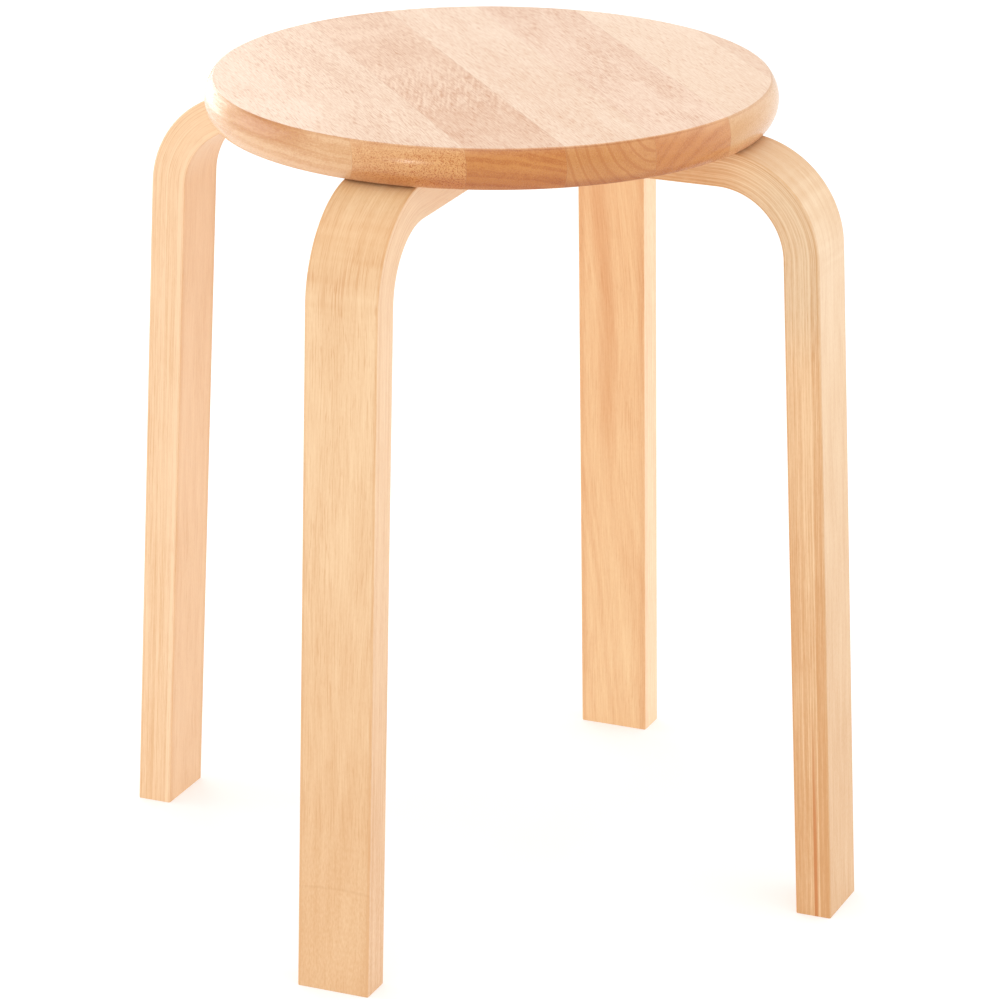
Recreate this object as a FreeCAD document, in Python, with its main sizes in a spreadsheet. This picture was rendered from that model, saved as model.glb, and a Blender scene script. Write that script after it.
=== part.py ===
import FreeCAD, Part
import math
import os
import Sketcher

# A stacking stool: a round seat of edge-glued staves on four bent laminated legs.
# Each leg is an L whose level arm is bolted up into the seat from below.
# The origin is on the floor under the middle of the seat, +Z is up, and the legs stand on
# the X and Y axes. Lengths are in millimetres and angles in degrees.

os.makedirs("parts", exist_ok=True)

doc = FreeCAD.newDocument("stacking_stool")
sheet = doc.addObject("Spreadsheet::Sheet", "dims")
Vector = FreeCAD.Vector

# Driving dimensions

DIMENSIONS = [
    ("overall_height", 450.0, "floor to seat top"),
    ("seat_top_radius", 150.0, "crisp ring where the top face meets the rim"),
    ("seat_thickness", 22.0, "seat panel, planed"),
    ("rim_bulge", 4.2, "how far the rounded rim stands out past the top ring"),
    ("rim_ease", 0.7, "sanded arris above and below the rim"),
    ("stave_count", 7.0, "boards in the seat panel"),
    ("first_stave", 43.2, "what the rim leaves of the first board, front left"),
    ("last_stave", 15.2, "what the rim leaves of the last board, back right"),
    ("stave_turn", 48.5, "grain direction of the boards, clockwise from the X axis"),
    ("leg_width", 41.0, "wide face of a leg"),
    ("leg_thickness", 20.0, "stack of plies"),
    ("bend_radius", 38.0, "inside of the bend"),
    ("splay_angle", 2.6, "upright's lean from the vertical"),
    ("foot_reach", 212.0, "centre to the outer face of a foot, on the floor"),
    ("arm_start", 28.0, "centre to the inner end of an arm"),
    ("leg_ease", 1.0, "sanded arris along a leg"),
    ("bolt_count", 3.0, "bolts in one arm"),
    ("bolt_first", 45.0, "centre to the innermost bolt"),
    ("bolt_pitch", 30.0, "bolt to bolt along an arm"),
    ("bolt_radius", 3.0, "thread, outside"),
    ("bolt_tip", 0.6, "chamfer at the bolt's end"),
    ("thread_grip", 9.0, "bolt length inside the insert"),
    ("head_radius", 5.25, "button head"),
    ("head_height", 3.3, "button head"),
    ("head_crown", 2.2, "how far the head's dome falls at its edge"),
    ("socket_width", 4.0, "hexagon socket across flats"),
    ("socket_depth", 2.0, "hexagon socket"),
    ("head_recess", 0.7, "head below the arm's underside"),
    ("washer_radius", 7.0, "flat washer, outside"),
    ("washer_thickness", 1.5, "flat washer"),
    ("washer_clearance", 0.2, "washer hole around the bolt, radial"),
    ("counterbore_clearance", 1.0, "counterbore around the washer, radial"),
    ("bore_clearance", 0.25, "arm's bore around the bolt, radial"),
    ("insert_radius", 5.0, "threaded insert, outside"),
    ("insert_length", 13.0, "threaded insert"),
    ("insert_clearance", 0.05, "seat's blind hole around the insert, radial"),
    ("insert_gap", 1.0, "blind hole left above the insert"),
    ("thread_clearance", 0.05, "insert's bore around the bolt, radial"),
]

for row, (alias, value, note) in enumerate(DIMENSIONS, start=1):
    sheet.set(f"A{row}", alias)
    sheet.set(f"B{row}", str(value))
    sheet.set(f"C{row}", note)
    sheet.setAlias(f"B{row}", alias)
doc.recompute()

# Heights and radii that several pieces share

ARM_TOP = "(dims.overall_height - dims.seat_thickness)"
ARM_UNDER = f"({ARM_TOP} - dims.leg_thickness)"
HEAD_FACE = f"({ARM_UNDER} + dims.head_recess + dims.head_height)"
COUNTERBORE_TOP = f"({HEAD_FACE} + dims.washer_thickness)"
COUNTERBORE_RADIUS = "(dims.washer_radius + dims.counterbore_clearance)"
BOLT_END = f"({ARM_TOP} + dims.thread_grip)"
SEAT_HOLE_RADIUS = "(dims.insert_radius + dims.insert_clearance)"
SEAT_HOLE_DEPTH = "(dims.insert_length + dims.insert_gap)"
OUTER_RADIUS = "(dims.seat_top_radius + dims.rim_bulge)"
STAVE_WIDTH = f"((2 * {OUTER_RADIUS} - dims.first_stave - dims.last_stave) / (dims.stave_count - 2))"
RIM_RADIUS = "((dims.seat_thickness / 2) ^ 2 + dims.rim_bulge ^ 2) / (2 * dims.rim_bulge)"
PATTERN_LENGTH = "(dims.bolt_pitch * (dims.bolt_count - 1))"

LEG_TURNS = {"front": -90.0, "right": 0.0, "back": 90.0, "left": 180.0}


def size(alias):
    """The sheet's value of one driving dimension."""
    return float(sheet.get(alias))


# Sketch helpers

def origin_plane(body, role):
    """The body's own origin plane or axis with this role."""
    for feature in body.Origin.OriginFeatures:
        if feature.Role == role:
            return feature
    raise ValueError(role)


def new_sketch(body, name, role, height=None, reach=None):
    """A sketch on the body's own plane, lifted by height and moved out along X by reach."""
    sketch = body.newObject("Sketcher::SketchObject", name)
    sketch.AttachmentSupport = [(origin_plane(body, role), "")]
    sketch.MapMode = "FlatFace"
    if height is not None:
        sketch.setExpression("AttachmentOffset.Base.z", height)
    if reach is not None:
        sketch.setExpression("AttachmentOffset.Base.x", reach)
    return sketch


def bind(sketch, constraint, name, expression):
    """Add a dimension to the sketch and tie it to the sheet."""
    index = sketch.addConstraint(constraint)
    sketch.renameConstraint(index, name)
    sketch.setExpression(f"Constraints.{name}", expression)


def add_circle(sketch, name, radius, reach):
    """A circle on the sketch's X axis, with its radius and its reach tied to the sheet."""
    circle = sketch.addGeometry(Part.Circle(Vector(10, 0, 0), Vector(0, 0, 1), 1.0))
    sketch.addConstraint(Sketcher.Constraint("PointOnObject", circle, 3, -1))
    bind(sketch, Sketcher.Constraint("Radius", circle, 1.0), f"{name}_radius", radius)
    bind(sketch, Sketcher.Constraint("DistanceX", -1, 1, circle, 3, 10.0), f"{name}_reach", reach)


def add_loop(sketch, points):
    """Closed straight lines through the points, joined end to end."""
    lines = []
    for start, end in zip(points, points[1:] + points[:1]):
        lines.append(sketch.addGeometry(Part.LineSegment(Vector(*start, 0), Vector(*end, 0))))
    for line, following in zip(lines, lines[1:] + lines[:1]):
        sketch.addConstraint(Sketcher.Constraint("Coincident", line, 2, following, 1))
    return lines


def revolve(body, sketch, name):
    """A full turn of the sketch about its own vertical axis."""
    solid = body.newObject("PartDesign::Revolution", name)
    solid.Profile = sketch
    solid.ReferenceAxis = (sketch, ["V_Axis"])
    solid.Angle = 360.0
    return solid


def cut_upwards(body, sketch, name, depth=None):
    """A pocket that goes up from the sketch, to a depth or through everything."""
    before = body.Shape.Volume
    pocket = body.newObject("PartDesign::Pocket", name)
    pocket.Profile = sketch
    pocket.Reversed = True
    if depth is None:
        pocket.Type = "ThroughAll"
    else:
        pocket.setExpression("Length", depth)
    doc.recompute()
    if pocket.Shape.Volume >= before - 1e-3:
        raise RuntimeError(f"{name} removed nothing")
    return pocket


def row_of_bolts(body, name, features, sketch):
    """Repeat the features once for each bolt along the arm."""
    row = body.newObject("PartDesign::LinearPattern", name)
    row.Originals = features
    row.Direction = (sketch, ["H_Axis"])
    row.setExpression("Length", PATTERN_LENGTH)
    row.setExpression("Occurrences", "dims.bolt_count")
    body.Tip = row
    return row


def turn_about_centre(thing, turn):
    """Stand a piece that was drawn on the +X side at its own leg."""
    thing.Placement = FreeCAD.Placement(Vector(0, 0, 0), FreeCAD.Rotation(Vector(0, 0, 1), turn))


# Seat panel: a disc with a rounded rim and blind holes for the inserts

def make_seat_panel():
    """The turned disc before it is divided into its boards."""
    body = doc.addObject("PartDesign::Body", "seat_panel")

    profile = new_sketch(body, "seat_profile", "XZ_Plane")
    radius = size("seat_top_radius")
    top = size("overall_height")
    under = top - size("seat_thickness")
    bulge = size("rim_bulge")
    floor_line = profile.addGeometry(Part.LineSegment(Vector(0, under, 0), Vector(radius, under, 0)))
    rim = profile.addGeometry(
        Part.Arc(Vector(radius, under, 0), Vector(radius + bulge, (top + under) / 2, 0), Vector(radius, top, 0))
    )
    top_line = profile.addGeometry(Part.LineSegment(Vector(radius, top, 0), Vector(0, top, 0)))
    axis_line = profile.addGeometry(Part.LineSegment(Vector(0, top, 0), Vector(0, under, 0)))
    profile.addConstraint(Sketcher.Constraint("Coincident", floor_line, 2, rim, 1))
    profile.addConstraint(Sketcher.Constraint("Coincident", rim, 2, top_line, 1))
    profile.addConstraint(Sketcher.Constraint("Coincident", top_line, 2, axis_line, 1))
    profile.addConstraint(Sketcher.Constraint("Coincident", axis_line, 2, floor_line, 1))
    profile.addConstraint(Sketcher.Constraint("Horizontal", floor_line))
    profile.addConstraint(Sketcher.Constraint("Horizontal", top_line))
    profile.addConstraint(Sketcher.Constraint("PointOnObject", axis_line, 1, -2))
    profile.addConstraint(Sketcher.Constraint("PointOnObject", axis_line, 2, -2))
    bind(profile, Sketcher.Constraint("DistanceX", floor_line, 1, floor_line, 2, radius),
         "under_radius", "dims.seat_top_radius")
    bind(profile, Sketcher.Constraint("DistanceX", top_line, 2, top_line, 1, radius),
         "top_radius", "dims.seat_top_radius")
    bind(profile, Sketcher.Constraint("DistanceY", -1, 1, top_line, 2, top),
         "top_height", "dims.overall_height")
    bind(profile, Sketcher.Constraint("DistanceY", axis_line, 2, axis_line, 1, top - under),
         "thickness", "dims.seat_thickness")
    bind(profile, Sketcher.Constraint("Radius", rim, ((top - under) ** 2 / 4 + bulge ** 2) / (2 * bulge)),
         "rim_radius", RIM_RADIUS)
    doc.recompute()

    disc = revolve(body, profile, "seat_disc")
    doc.recompute()

    eased = body.newObject("PartDesign::Fillet", "seat_arris")
    eased.Base = (disc, ring_edges(disc.Shape, radius))
    eased.setExpression("Radius", "dims.rim_ease")
    doc.recompute()

    circle = new_sketch(body, "insert_hole_circle", "XY_Plane", height=ARM_TOP)
    add_circle(circle, "hole", SEAT_HOLE_RADIUS, "dims.bolt_first")
    hole = cut_upwards(body, circle, "insert_hole", depth=SEAT_HOLE_DEPTH)

    holes = body.newObject("PartDesign::MultiTransform", "insert_holes")
    holes.Originals = [hole]
    along = body.newObject("PartDesign::LinearPattern", "insert_holes_along_arm")
    along.Direction = (circle, ["H_Axis"])
    along.setExpression("Length", PATTERN_LENGTH)
    along.setExpression("Occurrences", "dims.bolt_count")
    around = body.newObject("PartDesign::PolarPattern", "insert_holes_around_seat")
    around.Axis = (circle, ["N_Axis"])
    around.Angle = 360.0
    around.Occurrences = len(LEG_TURNS)
    holes.Transformations = [along, around]
    body.Tip = holes
    doc.recompute()
    return body


def ring_edges(shape, radius):
    """Names of the full circles of this radius."""
    names = []
    for number, edge in enumerate(shape.Edges, start=1):
        is_circle = edge.Curve.TypeId == "Part::GeomCircle"
        if is_circle and edge.isClosed() and abs(edge.Curve.Radius - radius) < 1e-3:
            names.append(f"Edge{number}")
    return names


# Seat staves: the panel divided at its glue lines

def make_staves(panel):
    """One solid for each board, each the part of the panel between two glue lines.

    The panel is divided by one slab for each board, and the slabs run past the rim all round.
    """
    count = round(size("stave_count"))
    overhang = "dims.rim_bulge"
    half_length = f"({OUTER_RADIUS} + {overhang})"
    cos_turn = "cos(dims.stave_turn * 1 deg)"
    sin_turn = "sin(dims.stave_turn * 1 deg)"
    staves = []
    for number in range(1, count + 1):
        seam = f"(dims.first_stave - {OUTER_RADIUS} + {number - 2} * {STAVE_WIDTH})"
        width = STAVE_WIDTH
        if number == 1:
            seam = f"(-{half_length})"
            width = f"(dims.first_stave + {overhang})"
        if number == count:
            width = f"(dims.last_stave + {overhang})"
        board = doc.addObject("Part::Box", f"board_{number}")
        board.setExpression("Length", f"2 * {half_length}")
        board.setExpression("Width", width)
        board.setExpression("Height", "dims.seat_thickness")
        board.setExpression("Placement.Rotation.Angle", "-dims.stave_turn")
        board.setExpression("Placement.Base.x", f"{seam} * {sin_turn} - {half_length} * {cos_turn}")
        board.setExpression("Placement.Base.y", f"{seam} * {cos_turn} + {half_length} * {sin_turn}")
        board.setExpression("Placement.Base.z", ARM_TOP)
        stave = doc.addObject("Part::Common", f"stave_{number}")
        stave.Base = panel
        stave.Tool = board
        stave.Label = f"seat_stave_{number}"
        staves.append(stave)
    return staves


# Legs: one bent lamination each, with a level arm, a bend and a splayed upright

def make_leg(side, turn):
    """A leg drawn in the XZ plane, bored and counterbored for its bolts."""
    body = doc.addObject("PartDesign::Body", f"{side}_leg")
    body.Label = f"leg_{side}"

    profile = draw_leg_profile(body, side)
    blank = body.newObject("PartDesign::Pad", f"{side}_leg_blank")
    blank.Profile = profile
    blank.Midplane = True
    blank.setExpression("Length", "dims.leg_width")
    doc.recompute()

    eased = body.newObject("PartDesign::Fillet", f"{side}_leg_arris")
    eased.Base = (blank, long_edges(blank.Shape))
    eased.setExpression("Radius", "dims.leg_ease")
    doc.recompute()

    bore_circle = new_sketch(body, f"{side}_bore_circle", "XY_Plane", height=ARM_UNDER)
    add_circle(bore_circle, "bore", "dims.bolt_radius + dims.bore_clearance", "dims.bolt_first")
    bore = cut_upwards(body, bore_circle, f"{side}_bore")

    seat_circle = new_sketch(body, f"{side}_counterbore_circle", "XY_Plane", height=ARM_UNDER)
    add_circle(seat_circle, "counterbore", COUNTERBORE_RADIUS, "dims.bolt_first")
    counterbore = cut_upwards(body, seat_circle, f"{side}_counterbore",
                              depth=f"{COUNTERBORE_TOP} - {ARM_UNDER}")

    row_of_bolts(body, f"{side}_bores", [bore, counterbore], bore_circle)
    turn_about_centre(body, turn)
    return body


def draw_leg_profile(body, side):
    """The L of one leg: arm, bend and upright, closed by a level foot and a square arm end."""
    sketch = new_sketch(body, f"{side}_leg_profile", "XZ_Plane")
    top = size("overall_height") - size("seat_thickness")
    thick = size("leg_thickness")
    under = top - thick
    inner = size("bend_radius")
    start = size("arm_start")
    foot = size("foot_reach")
    lean = math.radians(size("splay_angle"))
    centre_z = under - inner
    centre_x = foot - centre_z * math.tan(lean) - (inner + thick) / math.cos(lean)
    centre = Vector(centre_x, centre_z, 0)
    out = Vector(math.cos(lean), math.sin(lean), 0)

    arm_top = sketch.addGeometry(Part.LineSegment(Vector(start, top, 0), Vector(centre_x, top, 0)))
    outer_circle = Part.Circle(centre, Vector(0, 0, 1), inner + thick)
    outer_bend = sketch.addGeometry(Part.ArcOfCircle(outer_circle, lean, math.pi / 2))
    outer_face = sketch.addGeometry(
        Part.LineSegment(centre + out * (inner + thick), Vector(foot, 0, 0))
    )
    foot_inner = foot - thick / math.cos(lean)
    foot_line = sketch.addGeometry(Part.LineSegment(Vector(foot, 0, 0), Vector(foot_inner, 0, 0)))
    inner_face = sketch.addGeometry(Part.LineSegment(Vector(foot_inner, 0, 0), centre + out * inner))
    inner_circle = Part.Circle(centre, Vector(0, 0, 1), inner)
    inner_bend = sketch.addGeometry(Part.ArcOfCircle(inner_circle, lean, math.pi / 2))
    arm_under = sketch.addGeometry(Part.LineSegment(Vector(centre_x, under, 0), Vector(start, under, 0)))
    arm_end = sketch.addGeometry(Part.LineSegment(Vector(start, under, 0), Vector(start, top, 0)))

    joined = [
        ("Tangent", arm_top, 2, outer_bend, 2),
        ("Tangent", outer_bend, 1, outer_face, 1),
        ("Coincident", outer_face, 2, foot_line, 1),
        ("Coincident", foot_line, 2, inner_face, 1),
        ("Tangent", inner_face, 2, inner_bend, 1),
        ("Tangent", inner_bend, 2, arm_under, 1),
        ("Coincident", arm_under, 2, arm_end, 1),
        ("Coincident", arm_end, 2, arm_top, 1),
        ("Coincident", outer_bend, 3, inner_bend, 3),
        ("PointOnObject", foot_line, 1, -1),
        ("PointOnObject", foot_line, 2, -1),
    ]
    for rule in joined:
        sketch.addConstraint(Sketcher.Constraint(*rule))
    sketch.addConstraint(Sketcher.Constraint("Horizontal", arm_top))
    sketch.addConstraint(Sketcher.Constraint("Vertical", arm_end))

    bind(sketch, Sketcher.Constraint("DistanceX", -1, 1, arm_top, 1, start),
         "arm_start", "dims.arm_start")
    bind(sketch, Sketcher.Constraint("DistanceY", -1, 1, arm_top, 1, top),
         "arm_height", ARM_TOP)
    bind(sketch, Sketcher.Constraint("DistanceY", arm_end, 1, arm_end, 2, thick),
         "thickness", "dims.leg_thickness")
    bind(sketch, Sketcher.Constraint("Radius", inner_bend, inner),
         "bend_radius", "dims.bend_radius")
    bind(sketch, Sketcher.Constraint("Angle", -1, 1, outer_face, 2, math.pi / 2 + lean),
         "lean", "(90 + dims.splay_angle) * 1 deg")
    bind(sketch, Sketcher.Constraint("DistanceX", -1, 1, foot_line, 1, foot),
         "foot_reach", "dims.foot_reach")
    doc.recompute()
    return sketch


def long_edges(shape):
    """Names of the edges that run along the leg, on both of its ply faces."""
    half_width = size("leg_width") / 2
    names = []
    for number, edge in enumerate(shape.Edges, start=1):
        box = edge.BoundBox
        on_ply_face = box.YLength < 1e-6 and abs(abs(box.YMin) - half_width) < 1e-3
        is_foot = box.ZMax < 1e-3
        is_arm_end = box.XMax < size("arm_start") + 1e-3
        if on_ply_face and not is_foot and not is_arm_end:
            names.append(f"Edge{number}")
    return names


# Bolts: button heads down in the counterbores, shanks up through the arm into the seat

def make_bolts(side, turn):
    """The row of bolts of one arm, each a solid of its own."""
    body = doc.addObject("PartDesign::Body", f"{side}_bolts")
    body.Label = f"bolts_{side}"

    face = size("overall_height") - size("seat_thickness") - size("leg_thickness")
    face = face + size("head_recess") + size("head_height")
    end = size("overall_height") - size("seat_thickness") + size("thread_grip")
    bottom = face - size("head_height")
    head = size("head_radius")
    shank = size("bolt_radius")
    tip = size("bolt_tip")
    crown = size("head_crown")

    profile = new_sketch(body, f"{side}_bolt_profile", "XZ_Plane", reach="dims.bolt_first")
    edge = add_loop(profile, [
        (0, bottom), (head - crown, bottom), (head, bottom + crown), (head, face),
        (shank, face), (shank, end - tip), (shank - tip, end), (0, end),
    ])
    for line in (edge[0], edge[3], edge[6]):
        profile.addConstraint(Sketcher.Constraint("Horizontal", line))
    for line in (edge[2], edge[4]):
        profile.addConstraint(Sketcher.Constraint("Vertical", line))
    profile.addConstraint(Sketcher.Constraint("PointOnObject", edge[0], 1, -2))
    profile.addConstraint(Sketcher.Constraint("PointOnObject", edge[6], 2, -2))
    sizes = [
        ("DistanceY", -1, 1, edge[3], 1, face, "head_face", HEAD_FACE),
        ("DistanceX", -1, 1, edge[3], 1, head, "head_radius", "dims.head_radius"),
        ("DistanceY", edge[0], 1, edge[3], 1, face - bottom, "head_height", "dims.head_height"),
        ("DistanceX", edge[1], 1, edge[1], 2, crown, "crown_width", "dims.head_crown"),
        ("DistanceY", edge[1], 1, edge[1], 2, crown, "crown_height", "dims.head_crown"),
        ("DistanceX", -1, 1, edge[4], 1, shank, "shank_radius", "dims.bolt_radius"),
        ("DistanceY", -1, 1, edge[6], 2, end, "bolt_end", BOLT_END),
        ("DistanceX", edge[5], 2, edge[5], 1, tip, "tip_width", "dims.bolt_tip"),
        ("DistanceY", edge[5], 1, edge[5], 2, tip, "tip_height", "dims.bolt_tip"),
    ]
    bind_all(profile, sizes)
    doc.recompute()
    turned = revolve(body, profile, f"{side}_bolt_turned")
    doc.recompute()

    hexagon = new_sketch(body, f"{side}_socket_hexagon", "XY_Plane",
                         height=f"{HEAD_FACE} - dims.head_height")
    draw_hexagon(hexagon, "dims.bolt_first", "dims.socket_width / 2")
    socket = cut_upwards(body, hexagon, f"{side}_socket", depth="dims.socket_depth")

    row_of_bolts(body, f"{side}_bolt_row", [turned, socket], hexagon)
    turn_about_centre(body, turn)
    return body


def bind_all(sketch, sizes):
    """Add several dimensions, each a constraint's own values, its name and its expression."""
    for kind, *values, name, expression in sizes:
        bind(sketch, Sketcher.Constraint(kind, *values), name, expression)


def draw_hexagon(sketch, reach, inner_radius):
    """A regular hexagon about a point on the X axis, its flats at the inner radius."""
    centre = size("bolt_first")
    outer = size("socket_width") / math.sqrt(3)
    corners = []
    for step in range(6):
        angle = math.radians(60 * step)
        corners.append((centre + outer * math.cos(angle), outer * math.sin(angle)))
    edge = add_loop(sketch, corners)
    guide = sketch.addGeometry(Part.Circle(Vector(centre, 0, 0), Vector(0, 0, 1), outer))
    sketch.toggleConstruction(guide)
    for line in edge:
        sketch.addConstraint(Sketcher.Constraint("PointOnObject", line, 1, guide))
    for line in edge[1:]:
        sketch.addConstraint(Sketcher.Constraint("Equal", edge[0], line))
    sketch.addConstraint(Sketcher.Constraint("PointOnObject", guide, 3, -1))
    sketch.addConstraint(Sketcher.Constraint("PointOnObject", edge[0], 1, -1))
    bind_all(sketch, [
        ("DistanceX", -1, 1, guide, 3, centre, "reach", reach),
        ("Radius", guide, outer, "corner_radius", f"{inner_radius} * 2 / sqrt(3)"),
    ])
    doc.recompute()


# Washers and inserts: plain rings around the bolts

def make_rings(side, turn, name, inner, outer, height, length):
    """A row of rings about the bolts of one arm, each a solid of its own."""
    body = doc.addObject("PartDesign::Body", f"{side}_{name}")
    body.Label = f"{name}_{side}"
    sketch = new_sketch(body, f"{side}_{name}_circles", "XY_Plane", height=height)
    add_circle(sketch, "inner", inner, "dims.bolt_first")
    add_circle(sketch, "outer", outer, "dims.bolt_first")
    doc.recompute()
    ring = body.newObject("PartDesign::Pad", f"{side}_{name}_ring")
    ring.Profile = sketch
    ring.setExpression("Length", length)
    doc.recompute()
    row_of_bolts(body, f"{side}_{name}_row", [ring], sketch)
    turn_about_centre(body, turn)
    return body


def make_washers(side, turn):
    """Flat washers between the bolt heads and the counterbores."""
    return make_rings(side, turn, "washers",
                      inner="dims.bolt_radius + dims.washer_clearance",
                      outer="dims.washer_radius",
                      height=HEAD_FACE,
                      length="dims.washer_thickness")


def make_inserts(side, turn):
    """Threaded inserts, their lower ends flush with the seat's underside."""
    return make_rings(side, turn, "inserts",
                      inner="dims.bolt_radius + dims.thread_clearance",
                      outer="dims.insert_radius",
                      height=ARM_TOP,
                      length="dims.insert_length")


# Assembly

subparts = make_staves(make_seat_panel())
for side, turn in LEG_TURNS.items():
    subparts.append(make_leg(side, turn))
    subparts.append(make_bolts(side, turn))
    subparts.append(make_washers(side, turn))
    subparts.append(make_inserts(side, turn))
doc.recompute()

# Check every object before any file is written

faults = []
for thing in doc.Objects:
    if "Invalid" in thing.State or "Error" in thing.State:
        faults.append(f"{thing.Name}: {thing.State}")
for piece in subparts:
    if piece.Shape.isNull() or not piece.Shape.isValid():
        faults.append(f"{piece.Label}: bad shape")
if faults:
    raise RuntimeError("; ".join(faults))

for piece in subparts:
    piece.Shape.exportStep(f"parts/{piece.Label}.step")
    box = piece.Shape.BoundBox
    print(f"{piece.Label:16s} solids {len(piece.Shape.Solids)}  volume {piece.Shape.Volume:10.1f}  "
          f"x {box.XMin:7.1f} {box.XMax:7.1f}  y {box.YMin:7.1f} {box.YMax:7.1f}  "
          f"z {box.ZMin:6.1f} {box.ZMax:6.1f}")
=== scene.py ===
import math

import bmesh
import bpy
from mathutils import Matrix, Vector


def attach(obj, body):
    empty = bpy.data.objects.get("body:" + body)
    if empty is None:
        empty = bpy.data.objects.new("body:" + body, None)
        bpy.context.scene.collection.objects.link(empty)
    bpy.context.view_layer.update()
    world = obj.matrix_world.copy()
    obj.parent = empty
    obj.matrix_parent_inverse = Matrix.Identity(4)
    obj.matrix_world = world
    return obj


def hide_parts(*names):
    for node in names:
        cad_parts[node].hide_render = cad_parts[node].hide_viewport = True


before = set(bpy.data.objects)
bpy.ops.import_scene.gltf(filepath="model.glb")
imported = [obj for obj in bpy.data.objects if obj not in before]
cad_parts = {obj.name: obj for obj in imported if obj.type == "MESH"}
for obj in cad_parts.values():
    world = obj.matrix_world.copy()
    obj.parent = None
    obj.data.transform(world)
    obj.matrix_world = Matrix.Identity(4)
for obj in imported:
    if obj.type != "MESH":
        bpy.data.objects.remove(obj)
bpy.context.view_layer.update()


# The seat. Seven boards of pale, fine-pored hardwood are glued edge to edge with the grain all one way.
# The panel is turned to a disc with a rounded rim, drilled blind from below for twelve threaded inserts,
# and sealed with a thin satin lacquer. The rim cuts off the first board and leaves a sliver of the last.
mm = 0.001
seat_top = 450 * mm
seat_bottom = 428 * mm
seat_face_radius = 150 * mm
rim_bulge = 4.2 * mm
arris = 0.7 * mm
grain_turn = math.radians(48.5)
across_boards = Vector((math.sin(grain_turn), math.cos(grain_turn), 0))
board_pitch = 50 * mm
seams = [(50 * number - 111) * mm for number in range(6)]
rim_steps = 18
disc_steps = 360
sharp_angle = math.radians(40)
touching = 1e-6
bolt_reaches = [45 * mm, 75 * mm, 105 * mm]
leg_turns = {"front": -90, "right": 0, "back": 90, "left": 180}
insert_hole_radius = 5.05 * mm
insert_hole_top = 442 * mm


def turned(outline, steps, closed=True):
    """A solid of revolution about Z from an outline of (radius, height) points."""
    shape = bmesh.new()
    points = [shape.verts.new((radius, 0, height)) for radius, height in outline]
    for first, second in zip(points, points[1:]):
        shape.edges.new((first, second))
    if closed:
        shape.edges.new((points[-1], points[0]))
    bmesh.ops.spin(shape, geom=shape.verts[:] + shape.edges[:], cent=(0, 0, 0), axis=(0, 0, 1),
                   angle=math.tau, steps=steps, use_merge=True)
    bmesh.ops.remove_doubles(shape, verts=shape.verts[:], dist=1e-7)
    bmesh.ops.recalc_face_normals(shape, faces=shape.faces[:])
    return shape


def repeated(shape, places):
    """Copies of one shape at each of the places, as one shape."""
    single = bpy.data.meshes.new("single")
    shape.to_mesh(single)
    several = bmesh.new()
    for place in places:
        before = len(several.verts)
        several.from_mesh(single)
        several.verts.ensure_lookup_table()
        bmesh.ops.transform(several, matrix=place, verts=several.verts[before:])
    bpy.data.meshes.remove(single)
    return several


def to_object(name, shape):
    mesh = bpy.data.meshes.new(name)
    shape.to_mesh(mesh)
    made = bpy.data.objects.new(name, mesh)
    bpy.context.scene.collection.objects.link(made)
    return made


def drill(piece, cutter):
    """Cuts the cutter's shape out of a piece and keeps the result as its mesh."""
    cut = piece.modifiers.new("drill", "BOOLEAN")
    cut.operation = "DIFFERENCE"
    cut.solver = "EXACT"
    cut.object = cutter
    seen = piece.evaluated_get(bpy.context.evaluated_depsgraph_get())
    drilled = bpy.data.meshes.new_from_object(seen)
    piece.modifiers.clear()
    undrilled = piece.data
    piece.data = drilled
    bpy.data.meshes.remove(undrilled)
    drilled.name = piece.name


def put_away(piece):
    mesh = piece.data
    bpy.data.objects.remove(piece)
    bpy.data.meshes.remove(mesh)


def shade(piece, seam_planes=()):
    """Keeps sharp edges crisp and leans every other edge to its larger face, so that flat faces look flat."""
    shape = bmesh.new()
    shape.from_mesh(piece.data)
    for face in shape.faces:
        face.smooth = True
    for edge in shape.edges:
        on_seam = any(all(abs(point.co.dot(across_boards) - seam) < touching for point in edge.verts)
                      for seam in seam_planes)
        edge.smooth = edge.calc_face_angle(0) < sharp_angle and not on_seam
    shape.to_mesh(piece.data)
    shape.free()
    leaning = piece.modifiers.new("leaning", "WEIGHTED_NORMAL")
    leaning.keep_sharp = True
    leaning.weight = 100


def seat_disc():
    """The whole disc before it is divided into boards."""
    half_height = (seat_top - seat_bottom) / 2
    rim_radius = (half_height ** 2 + rim_bulge ** 2) / (2 * rim_bulge)
    rim_centre = (seat_face_radius + rim_bulge - rim_radius, 0, seat_bottom + half_height)
    disc = bmesh.new()
    start = disc.verts.new((seat_face_radius, 0, seat_bottom))
    bmesh.ops.spin(disc, geom=[start], cent=rim_centre, axis=(0, -1, 0),
                   angle=2 * math.asin(half_height / rim_radius), steps=rim_steps)
    bmesh.ops.spin(disc, geom=disc.verts[:] + disc.edges[:], cent=(0, 0, 0), axis=(0, 0, 1),
                   angle=math.tau, steps=disc_steps, use_merge=True)
    bmesh.ops.holes_fill(disc, edges=disc.edges[:])
    bmesh.ops.recalc_face_normals(disc, faces=disc.faces[:])
    sharp_rings = [edge for edge in disc.edges
                   if abs(edge.verts[0].co.z - edge.verts[1].co.z) < touching
                   and min(abs(edge.verts[0].co.z - level) for level in (seat_top, seat_bottom)) < touching]
    bmesh.ops.bevel(disc, geom=sharp_rings, offset=arris, offset_type="OFFSET", segments=3,
                    profile=0.5, affect="EDGES", material=-1)
    return disc


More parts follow.
